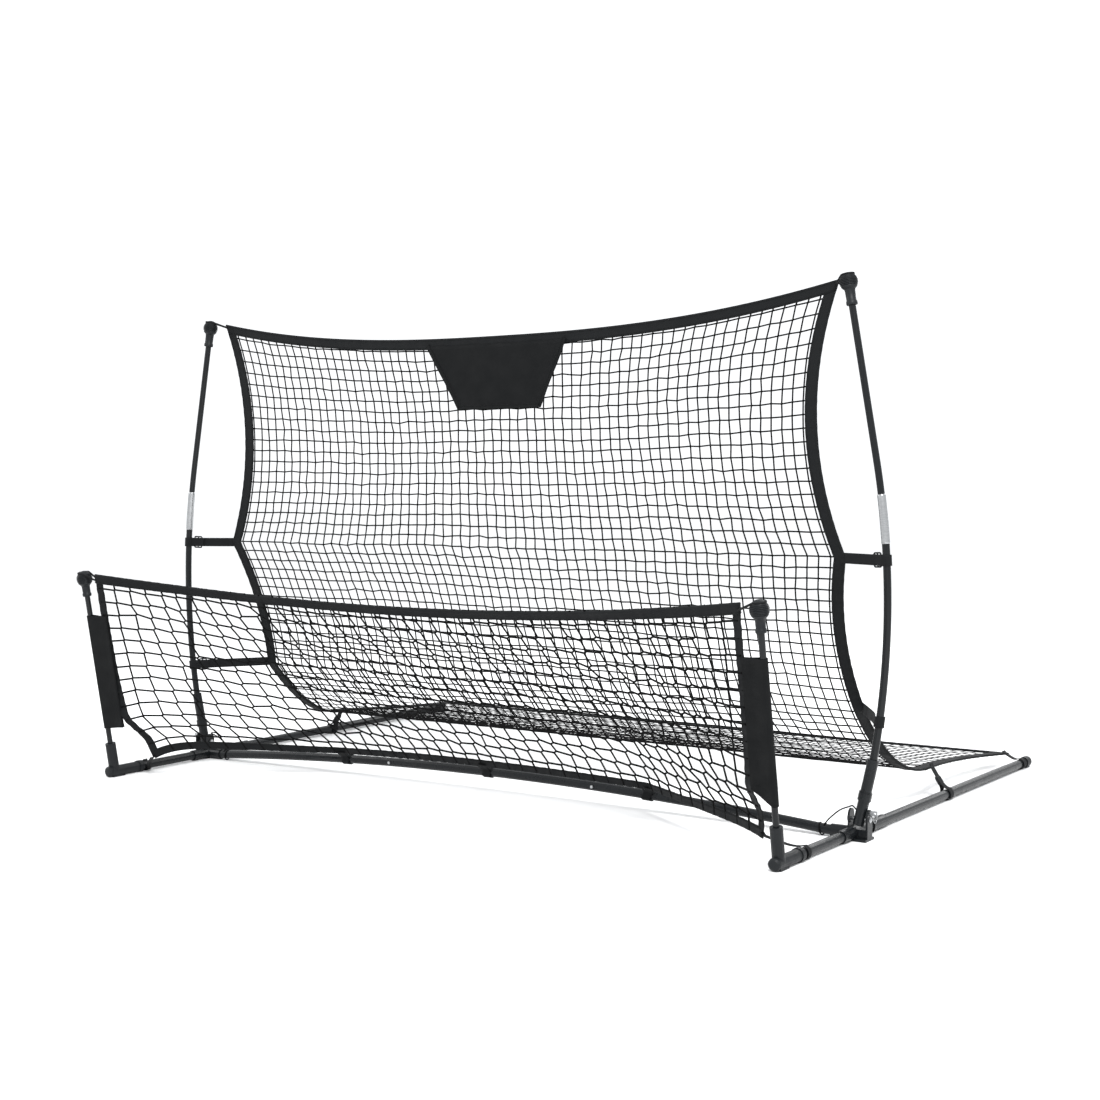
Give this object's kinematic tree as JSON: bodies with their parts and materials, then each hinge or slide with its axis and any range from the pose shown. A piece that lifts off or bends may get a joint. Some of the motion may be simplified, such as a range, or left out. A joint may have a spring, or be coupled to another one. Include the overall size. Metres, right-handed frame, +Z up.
{
  "type": "ball rebounder",
  "caption": "Free-standing ball rebounder: a tall curved net between two sprung poles over a rear net floor, with a low net in front.",
  "frame": {"origin": "on the ground, at the middle of the footprint", "axes": "+X across the width, +Y from the low front net to the net floor at the rear, +Z up"},
  "size_m": [2.301, 1.7362, 1.3372],
  "materials": {
    "painted_steel": "satin black powder coat",
    "black_plastic": "moulded, satin",
    "fibreglass": "smooth pultruded rod, black",
    "bright_steel": "bright zinc plate",
    "net_cord": "braided polyester cord",
    "webbing": "woven polypropylene webbing",
    "patch_fabric": "plain-woven coated polyester"
  },
  "bodies": {
    "base": {"crossbar_left": "painted_steel", "crossbar_middle": "painted_steel", "crossbar_right": "painted_steel", "low_net": "net_cord", "front_strap_left": "webbing", "front_strap_middle": "webbing", "front_strap_right": "webbing", "net_bend": "net_cord", "net_floor": "net_cord", "pivot_bracket_left": "painted_steel", "pivot_bracket_right": "painted_steel", "pivot_bolt_left": "bright_steel", "pivot_bolt_right": "bright_steel", "front_rail_left": "painted_steel", "front_rail_right": "painted_steel", "rear_rail_left": "painted_steel", "rear_rail_right": "painted_steel", "rail_plug_left": "black_plastic", "rail_plug_right": "black_plastic", "front_tee_left": "black_plastic", "front_tee_right": "black_plastic", "front_end_cap_left": "black_plastic", "front_end_cap_right": "black_plastic", "front_pole_left": "fibreglass", "front_pole_right": "fibreglass", "front_cap_left": "black_plastic", "front_cap_right": "black_plastic", "pole_pocket_left": "patch_fabric", "pole_pocket_right": "patch_fabric", "corner_tie_left": "webbing", "corner_tie_right": "webbing", "rail_strap_left": "webbing", "rail_strap_right": "webbing", "corner_strap_left": "webbing", "corner_strap_right": "webbing"},
    "uprights": {"tall_net": "net_cord", "target_patch": "patch_fabric", "pole_sleeve_left": "painted_steel", "pole_sleeve_right": "painted_steel", "lower_pole_left": "fibreglass", "lower_pole_right": "fibreglass", "upper_pole_left": "fibreglass", "upper_pole_right": "fibreglass", "ferrule_left": "bright_steel", "ferrule_right": "bright_steel", "pole_cap_left": "black_plastic", "pole_cap_right": "black_plastic", "side_strap_high_left": "webbing", "side_strap_high_right": "webbing", "side_strap_low_left": "webbing", "side_strap_low_right": "webbing"},
    "lock_pin_left": {"lock_pin_left": "bright_steel"},
    "split_ring_left": {"split_ring_left": "bright_steel"},
    "snap_button_left": {"snap_button_left": "bright_steel"},
    "lock_pin_right": {"lock_pin_right": "bright_steel"},
    "split_ring_right": {"split_ring_right": "bright_steel"},
    "snap_button_right": {"snap_button_right": "bright_steel"}
  },
  "joints": [
    {"name": "uprights_fold", "type": "hinge", "parent": "base", "child": "uprights", "pos_m": [0, -0.359, 0.05], "axis": [1, 0, 0], "range_deg": [-40, 0], "deforming": ["net_bend"]},
    {"name": "lock_pin_left_pull", "type": "slide", "parent": "base", "child": "lock_pin_left", "axis": [-1, 0, 0], "range_m": [0, 0.01], "stiffness_N_per_m": 600},
    {"name": "split_ring_left_swing", "type": "hinge", "parent": "lock_pin_left", "child": "split_ring_left", "pos_m": [-1.1145, -0.359, 0.0644], "axis": [0, 1, 0], "range_deg": [-20, 70]},
    {"name": "snap_button_left_press", "type": "slide", "parent": "base", "child": "snap_button_left", "axis": [0, 1, 0], "range_m": [0, 0.0035], "stiffness_N_per_m": 700},
    {"name": "lock_pin_right_pull", "type": "slide", "parent": "base", "child": "lock_pin_right", "axis": [1, 0, 0], "range_m": [0, 0.01], "stiffness_N_per_m": 600},
    {"name": "split_ring_right_swing", "type": "hinge", "parent": "lock_pin_right", "child": "split_ring_right", "pos_m": [1.1145, -0.359, 0.0644], "axis": [0, -1, 0], "range_deg": [-20, 70]},
    {"name": "snap_button_right_press", "type": "slide", "parent": "base", "child": "snap_button_right", "axis": [0, 1, 0], "range_m": [0, 0.0035], "stiffness_N_per_m": 700}
  ]
}
